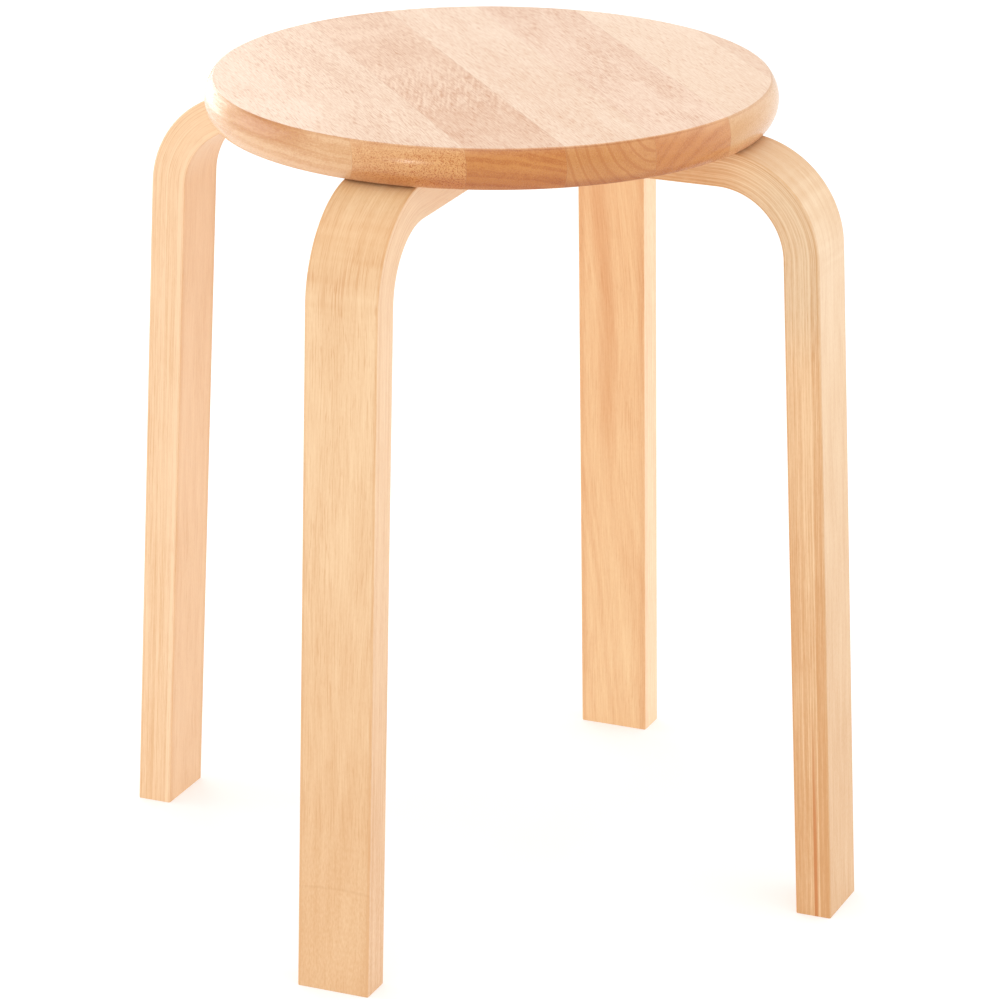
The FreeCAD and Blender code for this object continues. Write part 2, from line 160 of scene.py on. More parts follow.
def seat_board(disc, low, high):
    """The part of the disc between two seams, closed along its glued edges."""
    board = disc.copy()
    for seam, sides in ((low, {"clear_inner": True}), (high, {"clear_outer": True})):
        if seam is not None:
            bmesh.ops.bisect_plane(board, geom=board.verts[:] + board.edges[:] + board.faces[:], dist=1e-7,
                                   plane_co=across_boards * seam, plane_no=across_boards, **sides)
            bmesh.ops.holes_fill(board, edges=[edge for edge in board.edges if edge.is_boundary])
    bmesh.ops.recalc_face_normals(board, faces=board.faces[:])
    return board


def add_node(tree, kind, inputs=None, **settings):
    """A shader node with its settings, and its inputs either joined or given a value."""
    made = tree.nodes.new(kind)
    for name, value in settings.items():
        setattr(made, name, value)
    for name, value in (inputs or {}).items():
        if isinstance(value, bpy.types.NodeSocket):
            tree.links.new(value, made.inputs[name])
        else:
            made.inputs[name].default_value = value
    return made


def calc(tree, operation, first, second=0.0, third=0.0, clamp=False):
    """One step of arithmetic on numbers or on other nodes' results."""
    node = add_node(tree, "ShaderNodeMath", {0: first, 1: second, 2: third}, operation=operation,
                    use_clamp=clamp)
    return node.outputs[0]


def opposite(tree, value):
    return calc(tree, "SUBTRACT", 1.0, value)


def away_from(tree, value, middle):
    return calc(tree, "ABSOLUTE", calc(tree, "SUBTRACT", value, middle))


def swayed(tree, tone, pattern, amount, clamp=False):
    """A tone made darker where a pattern is above its middle and lighter where it is below."""
    return calc(tree, "MULTIPLY_ADD", calc(tree, "SUBTRACT", pattern, 0.5), amount, tone, clamp)


def stretched(tree, source, scale, move=(0, 0, 0)):
    """A place measured in other units along each axis, so that a pattern is drawn out along the grain."""
    node = add_node(tree, "ShaderNodeMapping", {"Vector": source, "Scale": scale, "Location": move})
    return node.outputs["Vector"]


def cloud(tree, place, detail=2.0, roughness=0.5, distortion=0.0):
    node = add_node(tree, "ShaderNodeTexNoise", {"Vector": place, "Scale": 1.0, "Detail": detail,
                                                 "Roughness": roughness, "Distortion": distortion})
    return node.outputs["Fac"]


def layers(tree, distance, detail=2.0, roughness=0.5):
    """Uneven light and dark bands along one measure."""
    node = add_node(tree, "ShaderNodeTexNoise", {"W": distance, "Scale": 1.0, "Detail": detail,
                                                 "Roughness": roughness}, noise_dimensions="1D")
    return node.outputs["Fac"]


def between(tree, value, low, high):
    """0 below low, 1 above high and a soft step from one to the other."""
    node = add_node(tree, "ShaderNodeMapRange", {"Value": value, "From Min": low, "From Max": high},
                    interpolation_type="SMOOTHSTEP")
    return node.outputs["Result"]


def blend_colour(tree, amount, first, second, how="MIX"):
    node = add_node(tree, "ShaderNodeMix", data_type="RGBA", blend_type=how)
    for place, value in ((0, amount), (6, first), (7, second)):
        if isinstance(value, bpy.types.NodeSocket):
            tree.links.new(value, node.inputs[place])
        else:
            node.inputs[place].default_value = value if place == 0 else (*value, 1)
    return node.outputs[2]


def tinted(tree, amount, surface, tint):
    """A colour multiplied by a tint, by as much as the amount says."""
    return blend_colour(tree, amount, surface, blend_colour(tree, 1.0, surface, tint, "MULTIPLY"))


def colour(red, green, blue):
    """A colour given in screen values from 0 to 255, as the shader's linear values."""
    return tuple(((v / 255 + 0.055) / 1.055) ** 2.4 if v > 10 else v / 3295 for v in (red, green, blue))


def turn_to_grain(tree, source):
    """A place or direction with its first axis along the seat's grain and its second across the boards."""
    node = add_node(tree, "ShaderNodeMapping", {"Vector": source, "Rotation": (0, 0, grain_turn)})
    return node.outputs["Vector"]


def wood_shader(tree, surface, rough, relief, depth):
    """Joins a wood's colour, gloss and fine relief to its lacquered surface."""
    shader = tree.nodes["Principled BSDF"]
    tree.links.new(surface, shader.inputs["Base Color"])
    tree.links.new(rough, shader.inputs["Roughness"])
    bump = add_node(tree, "ShaderNodeBump", {"Height": relief, "Strength": depth, "Distance": 0.1 * mm})
    tree.links.new(bump.outputs["Normal"], shader.inputs["Normal"])
    shader.inputs["IOR"].default_value = 1.5


def seat_wood(name, light, dark, pith, lean, ring, figure, pores, mottle, seed, end_rim,
              side_rim=(0.95, 0.79, 0.58), rim_rings=1.0, rim_pores=0.1, fade=0.0, ripple=0.0, shadow=None,
              lower_rim_shade=(6, 0.66, 0.47, 0.36), lower_rim_side_shade=0.06, rim_shadow=None, year_lines=None):
    """Solid wood in three dimensions, so that the figure on top runs on into the end grain at the rim."""
    pith_across, pith_above = pith
    lean_across, lean_up = lean
    material = bpy.data.materials.new(name)
    material.use_nodes = True
    tree = material.node_tree
    place = add_node(tree, "ShaderNodeTexCoord")
    grain = turn_to_grain(tree, place.outputs["Object"])
    along, across, up = add_node(tree, "ShaderNodeSeparateXYZ", {0: grain}).outputs
    facing = turn_to_grain(tree, place.outputs["Normal"])
    facing_along, _, facing_up = add_node(tree, "ShaderNodeSeparateXYZ", {0: facing}).outputs
    end_on = between(tree, calc(tree, "ABSOLUTE", facing_along), 0.45, 0.92)
    flat_face = calc(tree, "MAXIMUM", between(tree, facing_up, 0.88, 0.99),
                     between(tree, facing_up, -0.975, -0.999))
    turned_side = opposite(tree, flat_face)
    end_face = calc(tree, "MULTIPLY", end_on, turned_side)

    # The year rings lie round a pith that leans a little, and waver.
    slow_waver = cloud(tree, stretched(tree, grain, (9, 26, 26), (seed, 0, 0)), 2)
    quick_waver = cloud(tree, stretched(tree, grain, (40, 120, 120), (seed, 3, 0)), 3)
    side = calc(tree, "MULTIPLY_ADD", along, lean_across, calc(tree, "SUBTRACT", across, pith_across * mm))
    height = calc(tree, "MULTIPLY_ADD", along, lean_up,
                  calc(tree, "SUBTRACT", up, seat_top + pith_above * mm))
    from_pith = calc(tree, "SQRT", calc(tree, "ADD", calc(tree, "MULTIPLY", side, side),
                                        calc(tree, "MULTIPLY", height, height)))
    wavy = calc(tree, "MULTIPLY_ADD", slow_waver, 7 * mm, from_pith)
    wavy = calc(tree, "MULTIPLY_ADD", quick_waver, 1.2 * mm, wavy)
    rings = layers(tree, calc(tree, "MULTIPLY", wavy, 1 / (ring * mm)), 2, 0.5)
    ring_lines = opposite(tree, between(tree, away_from(tree, rings, 0.56), 0.0, 0.05))

    # Fibres and pores are long and thin in the grain's direction, and dots where they are cut across.
    streaks = cloud(tree, stretched(tree, grain, (26, 330, 330), (seed, 0, 0)), 2, 0.6)
    blotches = cloud(tree, stretched(tree, grain, (16, 42, 42), (seed, 7, 0)), 4, 0.55)
    speckle = cloud(tree, stretched(tree, grain, (130, 1400, 1400), (seed, 0, 0)), 2, 0.6)
    vessels = cloud(tree, stretched(tree, grain, (100, 1500, 1500), (seed, 4, 0)), 1.5, 0.6)
    vessels = between(tree, vessels, 0.56 - pores, 0.68 - pores)
    end_dots = cloud(tree, stretched(tree, grain, (300, 1700, 1700), (seed, 5, 0)), 1.5, 0.6)
    end_dots = between(tree, end_dots, 0.51, 0.61)
    crowding = between(tree, blotches, 0.30, 0.65)

    # The tone goes from 0, the light colour, to 1, the dark one.
    ring_depth = calc(tree, "MULTIPLY_ADD", turned_side, rim_rings, figure)
    tone = swayed(tree, 0.36, rings, ring_depth)
    tone = calc(tree, "MULTIPLY_ADD", ring_lines, calc(tree, "MULTIPLY", ring_depth, 0.22), tone)
    if year_lines:
        spacing, phase, depth = year_lines
        line = away_from(tree, calc(tree, "FRACT", calc(tree, "DIVIDE", wavy, spacing * mm)), phase)
        line = calc(tree, "MULTIPLY", between(tree, line, 0.17, 0.04),
                    calc(tree, "MULTIPLY_ADD", rings, 1.2, 0.1))
        line = calc(tree, "MULTIPLY", line, turned_side)
        tone = calc(tree, "MULTIPLY_ADD", line, depth, tone)
    tone = calc(tree, "MULTIPLY_ADD", along, fade, tone)
    if shadow:
        middle, half_width, depth = shadow
        shaded = between(tree, away_from(tree, along, middle * mm), half_width * mm, 10 * mm)
        tone = calc(tree, "MULTIPLY_ADD", shaded, depth, tone)
    if ripple:
        curl = add_node(tree, "ShaderNodeMapping", {"Vector": grain, "Rotation": (0, 0, math.radians(19))})
        curl = cloud(tree, stretched(tree, curl.outputs["Vector"], (60, 560, 560), (seed, 0, 0)), 1, 0.5, 0.3)
        curled = between(tree, away_from(tree, along, 22 * mm), 68 * mm, 32 * mm)
        tone = swayed(tree, tone, curl, calc(tree, "MULTIPLY", curled, ripple * 3.6))
        bars = cloud(tree, stretched(tree, grain, (55, 9, 9), (seed, 6, 0)), 1)
        barred = between(tree, along, 0, -40 * mm)
        tone = swayed(tree, tone, bars, calc(tree, "MULTIPLY", barred, ripple * 1.8))
    tone = swayed(tree, tone, streaks, 0.8)
    tone = swayed(tree, tone, speckle, 2.3)
    tone = swayed(tree, tone, blotches, mottle, clamp=True)
    surface = blend_colour(tree, tone, light, dark)
    vessel_depth = calc(tree, "MULTIPLY_ADD", crowding, 0.26, 0.20)
    vessel_depth = calc(tree, "MULTIPLY", vessel_depth, calc(tree, "MULTIPLY_ADD", end_face, -0.8, 1.0))
    vessel_amount = calc(tree, "MULTIPLY", vessels, vessel_depth)
    vessel_amount = calc(tree, "MULTIPLY_ADD", end_dots, calc(tree, "MULTIPLY", end_face, rim_pores),
                         vessel_amount)
    surface = blend_colour(tree, vessel_amount, surface, [dark[0] * 0.72, dark[1] * 0.46, dark[2] * 0.30])

    # Lacquer soaks in deeper and darker on the rim, most of all where it cuts across the grain.
    soaked = blend_colour(tree, end_on, side_rim, end_rim)
    # Painted shade: the rim's lower part is tinted darker toward the bottom arris. It is strongest where the
    # rim cuts across the grain and weak on side grain, unless a board sets more.
    lower_shade_height, *lower_shade_tint = lower_rim_shade
    lower_rim_shading = between(tree, up, seat_bottom + lower_shade_height * mm, seat_bottom + 1 * mm)
    lower_rim_shading = calc(tree, "MULTIPLY", lower_rim_shading, calc(tree, "MULTIPLY_ADD", end_on, 0.86 - lower_rim_side_shade, lower_rim_side_shade))
    soaked = tinted(tree, lower_rim_shading, soaked, lower_shade_tint)
    if rim_shadow:
        middle, half_width, *shadow_tint = rim_shadow
        upper_rim = calc(tree, "MULTIPLY", between(tree, up, seat_top - 11 * mm, seat_top - 7 * mm),
                         between(tree, away_from(tree, along, middle * mm), half_width * mm, 8 * mm))
        upper_rim = calc(tree, "MULTIPLY", upper_rim, calc(tree, "MULTIPLY_ADD", blotches, 0.9, 0.45),
                         clamp=True)
        soaked = tinted(tree, upper_rim, soaked, shadow_tint)
    soaked = blend_colour(tree, turned_side, (1, 1, 1), soaked)
    # A darker line runs just under the top arris. The darker line along the bottom arris, which turns down
    # toward the floor, is painted shade.
    high_arris = calc(tree, "MULTIPLY", between(tree, up, seat_top - 1.5 * mm, seat_top - 0.8 * mm),
                      between(tree, up, seat_top - 0.02 * mm, seat_top - 0.15 * mm))
    shaded_bottom_arris = between(tree, up, seat_bottom + 1.3 * mm, seat_bottom + 0.5 * mm)
    by_arris = calc(tree, "MAXIMUM", high_arris, shaded_bottom_arris)
    by_arris = calc(tree, "MULTIPLY", by_arris, calc(tree, "MULTIPLY_ADD", end_on, 0.45, 0.30))
    soaked = tinted(tree, by_arris, soaked, (0.74, 0.58, 0.45))
    surface = blend_colour(tree, 1.0, surface, soaked, "MULTIPLY")

    # The glue lines are hair thin. Twenty pitches are added because FRACT needs a positive number.
    pitches = calc(tree, "DIVIDE", calc(tree, "ADD", across, 20 * board_pitch - seams[2]), board_pitch)
    to_seam = away_from(tree, calc(tree, "FRACT", pitches), 0.5)
    glue = between(tree, to_seam, 0.5 - 0.175 * mm / board_pitch, 0.5 - 0.075 * mm / board_pitch)
    surface = blend_colour(tree, calc(tree, "MULTIPLY", glue, 0.25), surface, (0.45, 0.25, 0.13))

    rough = calc(tree, "MULTIPLY_ADD", speckle, 0.16, 0.30)
    rough = calc(tree, "MULTIPLY_ADD", turned_side, -0.15, rough)
    rough = calc(tree, "MULTIPLY_ADD", shaded_bottom_arris, 0.5, rough)
    rough = calc(tree, "MULTIPLY_ADD", vessels, 0.12, rough, clamp=True)
    relief = calc(tree, "MULTIPLY_ADD", vessels, -0.8, calc(tree, "MULTIPLY", speckle, 0.4))
    relief = calc(tree, "MULTIPLY_ADD", glue, -0.8, relief)
    wood_shader(tree, surface, rough, relief, 0.2)
    return material


# The pith's place is in millimetres across the boards and above the seat's top, and its lean is a slope
# along the grain. Rings and year lines are spaced in millimetres. A shadow is a middle and a half width
# along the grain in millimetres, then a depth or a tint, and the lower rim shade, which is painted shade
# on the rim's lower part, is a height and a tint.
boards = {
    1: dict(light=colour(242, 215, 191), dark=colour(226, 188, 156), pith=(-130, -190), lean=(0.02, 0.03),
            ring=5.0, figure=0.7, pores=0.03, mottle=0.6, seed=11, side_rim=(0.90, 0.74, 0.54),
            end_rim=(0.91, 0.72, 0.46), rim_rings=0.9, rim_shadow=(52, 42, 0.80, 0.60, 0.40)),
    2: dict(light=colour(241, 213, 187), dark=colour(221, 180, 148), pith=(-60, -150), lean=(0.03, 0.03),
            ring=3.0, figure=0.4, pores=0.05, mottle=0.6, seed=23, end_rim=(0.90, 0.63, 0.31), rim_rings=0.1,
            rim_pores=0.95, lower_rim_shade=(12, 0.58, 0.25, 0.02)),
    3: dict(light=colour(237, 204, 176), dark=colour(213, 165, 130), pith=(-45, -120), lean=(0.05, 0.18),
            ring=4.0, figure=0.4, pores=0.03, mottle=0.8, seed=31, end_rim=(0.74, 0.425, 0.158), ripple=0.6,
            shadow=(85, 55, 0.25), lower_rim_shade=(13, 0.74, 0.56, 0.40)),
    4: dict(light=colour(243, 216, 191), dark=colour(225, 185, 153), pith=(36, 10), lean=(-0.03, 0.03),
            ring=6.0, figure=0.3, pores=0.02, mottle=0.7, seed=47, end_rim=(0.70, 0.415, 0.175),
            rim_rings=0.6, rim_pores=0.03, fade=0.4, shadow=(30, 40, 0.20), year_lines=(5.6, 0.82, 2.2)),
    5: dict(light=colour(242, 212, 187), dark=colour(221, 179, 149), pith=(100, -55), lean=(0.04, -0.03),
            ring=4.0, figure=0.5, pores=0.05, mottle=1.1, seed=59, end_rim=(0.66, 0.352, 0.127),
            rim_pores=0.12, fade=-0.9),
    6: dict(light=colour(244, 217, 192), dark=colour(229, 193, 162), pith=(130, -140), lean=(-0.05, 0.04),
            ring=5.0, figure=0.5, pores=0.01, mottle=0.4, seed=67, side_rim=(0.93, 0.84, 0.71),
            end_rim=(0.75, 0.53, 0.27), rim_rings=0.2, rim_pores=0.03, fade=1.0,
            lower_rim_shade=(8, 0.85, 0.62, 0.46), lower_rim_side_shade=0.6),
    7: dict(light=colour(238, 208, 182), dark=colour(224, 184, 153), pith=(170, -90), lean=(0.0, 0.1),
            ring=5.0, figure=0.5, pores=0.00, mottle=0.4, seed=73,
            side_rim=(0.95, 0.89, 0.78), end_rim=(0.84, 0.66, 0.42), rim_rings=0.2, rim_pores=0.03),
}

hole = turned([(0, seat_bottom - 5 * mm), (insert_hole_radius, seat_bottom - 5 * mm),
               (insert_hole_radius, insert_hole_top), (0, insert_hole_top)], 48, closed=False)
insert_holes = to_object("insert_holes", repeated(hole, [
    Matrix.Rotation(math.radians(turn), 4, "Z") @ Matrix.Translation((reach, 0, 0))
    for turn in leg_turns.values() for reach in bolt_reaches]))
whole_disc = seat_disc()
for number, (low, high) in enumerate(zip([None] + seams, seams + [None]), 1):
    board = to_object(f"seat_board_{number}", seat_board(whole_disc, low, high))
    drill(board, insert_holes)
    shade(board, seams)
    board.data.materials.clear()
    board.data.materials.append(seat_wood(f"seat_board_wood_{number}", **boards[number]))
    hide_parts(f"seat_stave_{number}")
    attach(board, "root")
put_away(insert_holes)


# The legs. Each is a stack of thirteen thin plies, glued and bent round a former while wet into an L, then
# sawn to width. The arm lies level under the seat and the upright splays a little, with the foot sawn flat.
# Three bores go up through each arm, counterbored from below. The long edges are eased and lacquered.
leg_width = 41 * mm
leg_thickness = 20 * mm
arm_top = seat_bottom
arm_start = 28 * mm
splay = math.radians(2.6)
foot_reach = 212 * mm
bend_inside = 38 * mm
bend_outside = bend_inside + leg_thickness
bend_angle = math.pi / 2 - splay
bend_height = arm_top - bend_outside
bend_reach = foot_reach - math.tan(splay) * bend_height - bend_outside / math.cos(splay)
bend_steps = 56
edge_ease = 1.0 * mm
end_ease = 0.4 * mm
bore_radius = 3.25 * mm
counterbore_radius = 8 * mm
counterbore_top = 413.5 * mm
ply_count = 13
ply = leg_thickness / ply_count


def bent_leg():
    """The bare leg with its arm along X: an end face drawn out, spun round the bend and drawn down."""
    leg = bmesh.new()
    end_place = (Matrix.Translation((arm_start, 0, arm_top - leg_thickness / 2))
                 @ Matrix.Rotation(math.pi / 2, 4, "Y") @ Matrix.Diagonal((leg_thickness, leg_width, 1, 1)))
    bmesh.ops.create_grid(leg, x_segments=1, y_segments=1, size=0.5, matrix=end_place)
    end = bmesh.ops.extrude_face_region(leg, geom=leg.faces[:])["geom"]
    bmesh.ops.translate(leg, vec=(bend_reach - arm_start, 0, 0),
                        verts=[part for part in end if isinstance(part, bmesh.types.BMVert)])
    end = bmesh.ops.spin(leg, geom=end, cent=(bend_reach, 0, bend_height), axis=(0, 1, 0),
                         angle=bend_angle, steps=bend_steps)["geom_last"]
    end = bmesh.ops.extrude_face_region(leg, geom=end)["geom"]
    down = Vector((math.sin(splay), 0, -math.cos(splay))) * (bend_height + 20 * mm)
    bmesh.ops.translate(leg, vec=down, verts=[part for part in end if isinstance(part, bmesh.types.BMVert)])
    bmesh.ops.recalc_face_normals(leg, faces=leg.faces[:])
    ends = [face for face in leg.faces if len([e for e in face.edges if e.calc_face_angle(0) > 1]) == 4]
    long_edges = [edge for edge in leg.edges if edge.calc_face_angle(0) > 1
                  and not any(face in ends for face in edge.link_faces)]
    bmesh.ops.bevel(leg, geom=long_edges, offset=edge_ease, offset_type="OFFSET", segments=4,
                    profile=0.5, affect="EDGES", material=-1)
    bmesh.ops.bisect_plane(leg, geom=leg.verts[:] + leg.edges[:] + leg.faces[:], plane_co=(0, 0, 0),
                           plane_no=(0, 0, -1), dist=1e-7, clear_outer=True)
    bmesh.ops.holes_fill(leg, edges=[edge for edge in leg.edges if edge.is_boundary])
    bmesh.ops.recalc_face_normals(leg, faces=leg.faces[:])
    outlines = [edge for edge in leg.edges if any(len(face.edges) > 8 for face in edge.link_faces)]
    bmesh.ops.bevel(leg, geom=outlines, offset=end_ease, offset_type="OFFSET", segments=2,
                    profile=0.5, affect="EDGES", material=-1)
    return leg


def note_grain(mesh):
    """Writes at each point how far it is along the plies, through them and across the leg."""
    arm_length = bend_reach - arm_start
    middle = (bend_inside + bend_outside) / 2
    grain = mesh.attributes.new("grain", "FLOAT_VECTOR", "POINT")
    for point, note in zip(mesh.vertices, grain.data):
        reach, across, height = point.co
        from_centre = Vector((reach - bend_reach, height - bend_height))
        angle = math.atan2(from_centre.x, from_centre.y)
        if from_centre.x <= 0:
            note.vector = (reach - arm_start, arm_top - height, across)
        elif angle <= bend_angle:
            note.vector = (arm_length + angle * middle, bend_outside - from_centre.length, across)
        else:
            outward = Vector((math.cos(splay), math.sin(splay)))
            downward = Vector((math.sin(splay), -math.cos(splay)))
            note.vector = (arm_length + bend_angle * middle + from_centre.dot(downward),
                           bend_outside - from_centre.dot(outward), across)


def leg_laminate(name, light, dark, streak, flame, heart, hairy, lines, plies, sides, seat_shade, foot, seed,
                 bands=(), outside=(1.0, 1.0, 1.0), bend_lines=0.0, arm=0.0, sweep=None, scarf=None,
                 scarf_slope=0.0, bend_tint=(1.0, 1.0, 1.0), stain=None, upper_face_tint_and_shade=(0.2, 0.1, 1.0, 1.0, 1.0)):
    """Bent laminate: plies show as fine lines along the sides, and the face veneers as long streaks.

    Places along the leg are in metres from the arm's inner end. The bend runs from 0.109 to 0.182, and the
    floor is at 0.555.
    """
    heart_across, heart_drift, heart_below, heart_sink = heart
    outer_hairs, side_hairs, inner_hairs = hairy
    seat_shade_depth, seat_shade_far, seat_shade_near = seat_shade
    foot_shade_depth, foot_start, foot_calm = foot
    top_far, top_near, *upper_face_colour = upper_face_tint_and_shade
    material = bpy.data.materials.new(name)
    material.use_nodes = True
    tree = material.node_tree
    grain = add_node(tree, "ShaderNodeAttribute", attribute_name="grain").outputs["Vector"]
    along, through, across = add_node(tree, "ShaderNodeSeparateXYZ", {0: grain}).outputs

    # The plies and the glue between them, which show only on the leg's sides.
    waver = cloud(tree, stretched(tree, grain, (12, 30, 60), (seed, 0, 0)), 1)
    layer_place = calc(tree, "DIVIDE", calc(tree, "MULTIPLY_ADD", waver, 0.12 * mm, through), ply)
    layer = calc(tree, "FLOOR", layer_place)
    joint = calc(tree, "FLOOR", calc(tree, "ADD", layer_place, 0.5))
    layer_tone = add_node(tree, "ShaderNodeTexWhiteNoise", {"W": calc(tree, "ADD", layer, seed + 0.5)},
                          noise_dimensions="1D").outputs["Value"]
    joint_tone = add_node(tree, "ShaderNodeTexWhiteNoise", {"W": calc(tree, "ADD", joint, seed + 0.7)},
                          noise_dimensions="1D").outputs["Value"]
    to_joint = away_from(tree, layer_place, joint)
    on_outside = opposite(tree, between(tree, through, 0.2 * mm, 0.6 * mm))
    on_inside = between(tree, through, leg_thickness - 0.6 * mm, leg_thickness - 0.2 * mm)
    on_side = calc(tree, "SUBTRACT", opposite(tree, on_outside), on_inside)
    glue = calc(tree, "MULTIPLY", opposite(tree, between(tree, to_joint, 0.05, 0.15)), on_side)

    from_middle = calc(tree, "ABSOLUTE", across)
    by_arris = calc(tree, "MULTIPLY", between(tree, from_middle, 18.6 * mm, 19.4 * mm), on_outside)
    by_arris = calc(tree, "MULTIPLY_ADD", between(tree, from_middle, 15 * mm, 19 * mm), on_inside, by_arris)

    # The veneers' fibres bow, and on a swept leg they run to one side above the bend.
    bowed = cloud(tree, stretched(tree, grain, (7, 20, 20), (seed, 2, 0)), 1)
    across = swayed(tree, across, bowed, 9 * mm)
    if sweep:
        sweep_top, sweep_bottom, sweep_depth = sweep
        centre = calc(tree, "MULTIPLY_ADD", between(tree, along, 0.30, 0.12), (sweep_top - sweep_bottom) * mm,
                      sweep_bottom * mm)
        across = calc(tree, "SUBTRACT", across, centre)
    flowing = add_node(tree, "ShaderNodeCombineXYZ", {0: along, 1: through, 2: across}).outputs[0]
    streaks = cloud(tree, stretched(tree, flowing, (12, 240, 240), (seed, 1, 0)), 2, 0.6)
    short_hairs = cloud(tree, stretched(tree, flowing, (85, 1600, 1600), (seed, 0, 0)), 1.5, 0.6)
    long_hairs = cloud(tree, stretched(tree, flowing, (32, 1450, 1450), (seed, 0, 0)), 2, 0.55)
    hairs = calc(tree, "MAXIMUM", between(tree, short_hairs, 0.55, 0.70),
                 between(tree, long_hairs, 0.52, 0.68))
    fibres = cloud(tree, stretched(tree, flowing, (36, 1700, 1700), (seed, 9, 0)), 2, 0.6)
    speckle = cloud(tree, stretched(tree, grain, (400, 1200, 1200), (seed, 0, 0)), 1, 0.5)
    blotches = cloud(tree, stretched(tree, grain, (14, 40, 60), (seed, 5, 0)), 4, 0.55)
    side_lines = cloud(tree, stretched(tree, grain, (6, 1250, 40), (seed, 6, 0)), 3, 0.65)
    side = calc(tree, "MULTIPLY_ADD", along, heart_drift, calc(tree, "SUBTRACT", across, heart_across * mm))
    below = calc(tree, "MULTIPLY_ADD", along, heart_sink, heart_below * mm)
    from_heart = calc(tree, "SQRT", calc(tree, "ADD", calc(tree, "MULTIPLY", side, side),
                                         calc(tree, "MULTIPLY", below, below)))
    rings = layers(tree, calc(tree, "DIVIDE", from_heart, 5 * mm), 2, 0.5)

    # The tone goes from 0, the light colour, to 1, the dark one.
    tone = swayed(tree, 0.35, streaks, streak)
    calm = calc(tree, "MULTIPLY", between(tree, along, 0.44, 0.51), foot_calm)
    tone = swayed(tree, tone, fibres, calc(tree, "MULTIPLY_ADD", calm, -0.9, 0.9))
    tone = swayed(tree, tone, speckle, calc(tree, "MULTIPLY_ADD", calm, 0.6, 0.3))
    tone = swayed(tree, tone, blotches, 0.5)
    tone = swayed(tree, tone, rings, calc(tree, "MULTIPLY", opposite(tree, on_side), flame))
    if sweep:
        swept = between(tree, calc(tree, "ABSOLUTE", across), 8 * mm, 1 * mm)
        swept = calc(tree, "MULTIPLY", swept, on_inside)
        swept = calc(tree, "MULTIPLY", swept, between(tree, along, 0.44, 0.32))
        tone = calc(tree, "MULTIPLY_ADD", swept, sweep_depth, tone)
    tone = calc(tree, "MULTIPLY_ADD", by_arris, 0.30, tone)
    lined = calc(tree, "MULTIPLY_ADD", between(tree, along, 0.20, 0.13), bend_lines * lines, lines)
    layered = calc(tree, "MULTIPLY", calc(tree, "SUBTRACT", layer_tone, 0.5), plies)
    layered = swayed(tree, layered, side_lines, lined)
    for first, last, depth, start in bands:
        band = calc(tree, "MULTIPLY", between(tree, through, (first - 0.06) * ply, (first + 0.06) * ply),
                    between(tree, through, (last + 1.06) * ply, (last + 0.94) * ply))
        band = calc(tree, "MULTIPLY", band, between(tree, along, start - 30 * mm, start + 30 * mm))
        layered = calc(tree, "MULTIPLY_ADD", band, depth, layered)
    tone = calc(tree, "MULTIPLY_ADD", layered, on_side, tone)
    # Painted shade: the tone changes down the upright toward the floor. It is darker on the front, right and
    # left legs and a touch lighter on the back leg.
    tone = calc(tree, "MULTIPLY_ADD", between(tree, along, foot_start, 0.56), foot_shade_depth, tone)
    # Painted shade on the outer face where it runs up close under the seat.
    below_seat_shade = calc(tree, "MULTIPLY", between(tree, along, seat_shade_far, seat_shade_near), on_outside)
    tone = calc(tree, "MULTIPLY_ADD", below_seat_shade, seat_shade_depth, tone)
    # Painted light and shade on the arm's sides under the seat: lighter on the front leg, darker on the right
    # leg.
    arm_side_light_and_shade = calc(tree, "MULTIPLY", between(tree, along, 0.135, 0.10), on_side)
    tone = calc(tree, "MULTIPLY_ADD", arm_side_light_and_shade, arm, tone)
    ripples = cloud(tree, stretched(tree, grain, (150, 10, 14), (seed, 8, 0)), 2, 0.5)
    on_bend = calc(tree, "MULTIPLY", between(tree, along, 0.12, 0.15), between(tree, along, 0.21, 0.18))
    on_bend = calc(tree, "MULTIPLY", on_bend, on_outside)
    tone = swayed(tree, tone, ripples, calc(tree, "MULTIPLY", on_bend, 0.7))
    joint_depth = calc(tree, "MULTIPLY_ADD", joint_tone, 1.3, -0.85)
    tone = calc(tree, "MULTIPLY_ADD", glue, joint_depth, tone, clamp=True)
    surface = blend_colour(tree, tone, light, dark)

    # Dark hairs are the pores of the veneer, drawn out along the leg.
    crowding = between(tree, blotches, 0.35, 0.65)
    hair_depth = calc(tree, "MULTIPLY_ADD", on_outside, outer_hairs - side_hairs, side_hairs)
    hair_depth = calc(tree, "MULTIPLY_ADD", on_inside, inner_hairs - side_hairs, hair_depth)
    hair_depth = calc(tree, "MULTIPLY", calc(tree, "MULTIPLY_ADD", crowding, 0.32, 0.12), hair_depth)
    above_bend = calc(tree, "MULTIPLY_ADD", between(tree, along, 0.21, 0.15), 0.5, 1.0)
    hair_depth = calc(tree, "MULTIPLY", hair_depth, above_bend)
    hair_depth = calc(tree, "MULTIPLY", hair_depth, calc(tree, "MULTIPLY_ADD", calm, -0.75, 1.0))
    hair_amount = calc(tree, "MULTIPLY", hairs, hair_depth)
    surface = blend_colour(tree, hair_amount, surface, [dark[0] * 0.84, dark[1] * 0.66, dark[2] * 0.46])
    if scarf:
        bow = calc(tree, "MULTIPLY", across, across)
        line = calc(tree, "MULTIPLY_ADD", bow, -3.0, calc(tree, "SUBTRACT", along, scarf))
        line = calc(tree, "MULTIPLY_ADD", across, scarf_slope, line)
        line = opposite(tree, between(tree, calc(tree, "ABSOLUTE", line), 0.1 * mm, 1.3 * mm))
        faint = calc(tree, "MULTIPLY_ADD", crowding, 0.14, 0.05)
        line = calc(tree, "MULTIPLY", calc(tree, "MULTIPLY", line, on_outside), faint)
